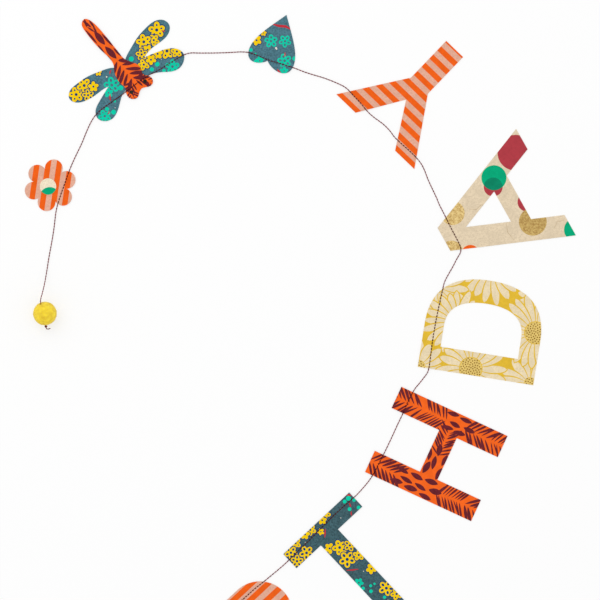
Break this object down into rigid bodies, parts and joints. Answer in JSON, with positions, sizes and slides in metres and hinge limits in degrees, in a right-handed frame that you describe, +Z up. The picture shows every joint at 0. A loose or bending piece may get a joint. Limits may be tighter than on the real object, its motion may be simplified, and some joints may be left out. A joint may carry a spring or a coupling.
{
  "type": "paper garland",
  "caption": "Hand-sewn garland of cut paper letters, a heart, a dragonfly and a flower on two stitched threads, with a felt ball knotted at each end; it lies flat.",
  "frame": {"origin": "centre of the plan outline of the papers and balls, on the table that the garland lies on", "axes": "+Z up from the table; +X to the right and +Y away from the reader, as the picture's right and top"},
  "size_m": [0.4711, 0.6819, 0.02],
  "materials": {
    "striped_paper": "matte",
    "dotted_paper": "matte",
    "daisy_paper": "matte",
    "leaf_paper": "matte",
    "blossom_paper": "matte",
    "dark_paper": "matte",
    "wool_felt": "fuzzy",
    "cotton_thread": "matte"
  },
  "bodies": {
    "root": {"felt_ball_right": "wool_felt", "end_knot_right": "cotton_thread", "flower": "striped_paper", "flower_centre": "dotted_paper", "dragonfly_wings": "blossom_paper", "dragonfly_body": "leaf_paper", "dragonfly_eye_left": "dark_paper", "dragonfly_eye_right": "dark_paper", "heart": "blossom_paper", "letter_y": "striped_paper", "letter_a": "dotted_paper", "letter_d": "daisy_paper", "letter_h": "leaf_paper", "letter_t": "blossom_paper", "letter_r": "striped_paper", "letter_i": "dotted_paper", "letter_b": "daisy_paper", "felt_ball_left": "wool_felt", "end_knot_left": "cotton_thread", "needle_thread": "cotton_thread", "bobbin_thread": "cotton_thread"}
  },
  "joints": []
}
